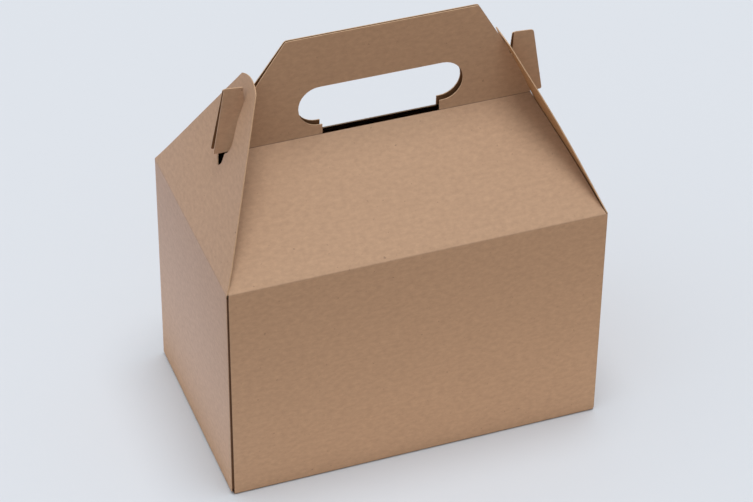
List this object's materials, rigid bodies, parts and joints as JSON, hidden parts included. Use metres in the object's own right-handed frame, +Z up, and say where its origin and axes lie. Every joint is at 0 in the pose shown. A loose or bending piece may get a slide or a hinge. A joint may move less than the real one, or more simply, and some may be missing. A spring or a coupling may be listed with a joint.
{
  "type": "gable box",
  "caption": "Folded kraft board carry-out carton with a sloped roof, a double handle ridge with a hand hole, and hinged gable flaps that hook over its ends.",
  "frame": {"origin": "middle of the base, on the surface the box stands on", "axes": "+Z up, +X along the long side of the box, +Y from the front panel to the back panel"},
  "size_m": [0.2172, 0.1312, 0.2454],
  "materials": {
    "kraft_board": "matt brown kraft board with fine darker fibres",
    "kraft_flap_board": "matt brown kraft board, the same sheet as the carton"
  },
  "bodies": {
    "carton": {"folded_carton": "kraft_board"},
    "left_flap": {"left_gable_flap": "kraft_flap_board"},
    "right_flap": {"right_gable_flap": "kraft_flap_board"}
  },
  "joints": [
    {"name": "left_flap_hinge", "type": "hinge", "parent": "carton", "child": "left_flap", "pos_m": [-0.10875, 0, 0.1394], "axis": [0, -1, 0], "range_deg": [0, 180]},
    {"name": "right_flap_hinge", "type": "hinge", "parent": "carton", "child": "right_flap", "pos_m": [0.10875, 0, 0.1394], "axis": [0, 1, 0], "range_deg": [0, 180]}
  ]
}
